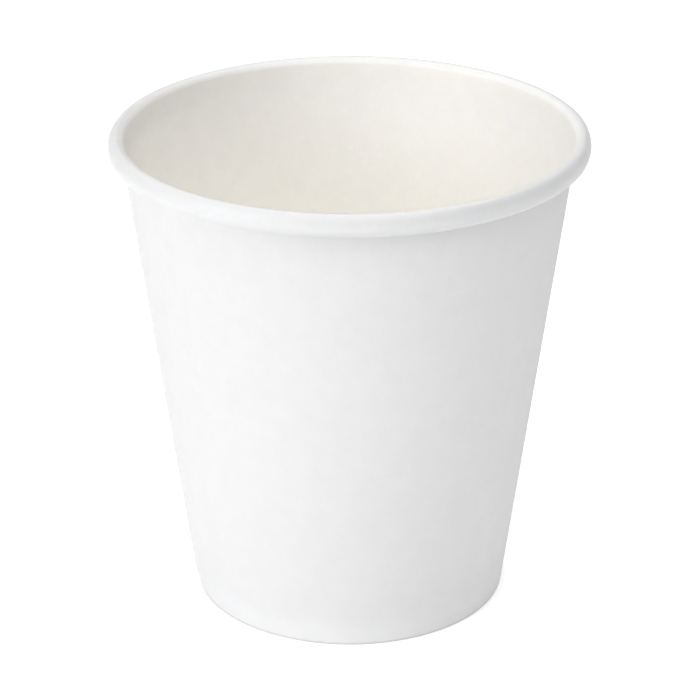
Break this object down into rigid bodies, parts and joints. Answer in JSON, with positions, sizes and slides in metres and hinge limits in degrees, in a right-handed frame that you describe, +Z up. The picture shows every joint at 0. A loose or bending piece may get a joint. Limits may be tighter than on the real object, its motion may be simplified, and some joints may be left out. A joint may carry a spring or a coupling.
{
  "type": "paper coffee cup",
  "caption": "Plain white single-wall paper cup for hot drinks, tapered, with a rolled rim and a recessed base.",
  "frame": {"origin": "centre of the foot, on the plane the cup stands on", "axes": "+Z up along the cup's axis, towards the mouth; -Y towards the viewer of the picture; the side seam is on the -X side"},
  "size_m": [0.09, 0.09, 0.093],
  "materials": {
    "sidewall_board": "matte",
    "base_board": "satin"
  },
  "bodies": {
    "root": {"sidewall": "sidewall_board", "base": "base_board"}
  },
  "joints": []
}
